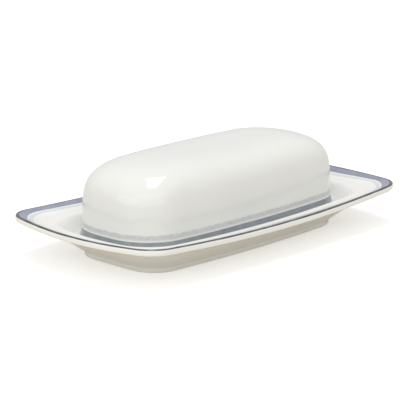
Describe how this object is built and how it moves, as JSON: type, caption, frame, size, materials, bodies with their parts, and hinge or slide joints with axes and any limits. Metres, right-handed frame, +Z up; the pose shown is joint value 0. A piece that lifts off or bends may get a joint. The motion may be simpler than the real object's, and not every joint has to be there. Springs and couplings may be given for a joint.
{
  "type": "butter dish",
  "caption": "Covered butter dish: a long glazed tray with a wide bowed rim and low foot, and a domed cover that lifts straight off it.",
  "frame": {"origin": "on the surface the dish stands on, under the middle of the tray", "axes": "+X along the dish's length, +Y across its width, +Z up, the way the cover lifts"},
  "size_m": [0.208, 0.115, 0.052],
  "materials": {
    "tray_glaze": "glossy ivory-white glaze with grey-blue line decoration along the rim",
    "cover_glaze": "glossy white glaze with a slate-blue band and a pale mottled band above its base"
  },
  "bodies": {
    "tray": {"tray": "tray_glaze"},
    "cover": {"cover": "cover_glaze"}
  },
  "joints": [
    {"name": "cover_lift", "type": "slide", "parent": "tray", "child": "cover", "axis": [0, 0, 1], "range_m": [0, 0.06]}
  ]
}
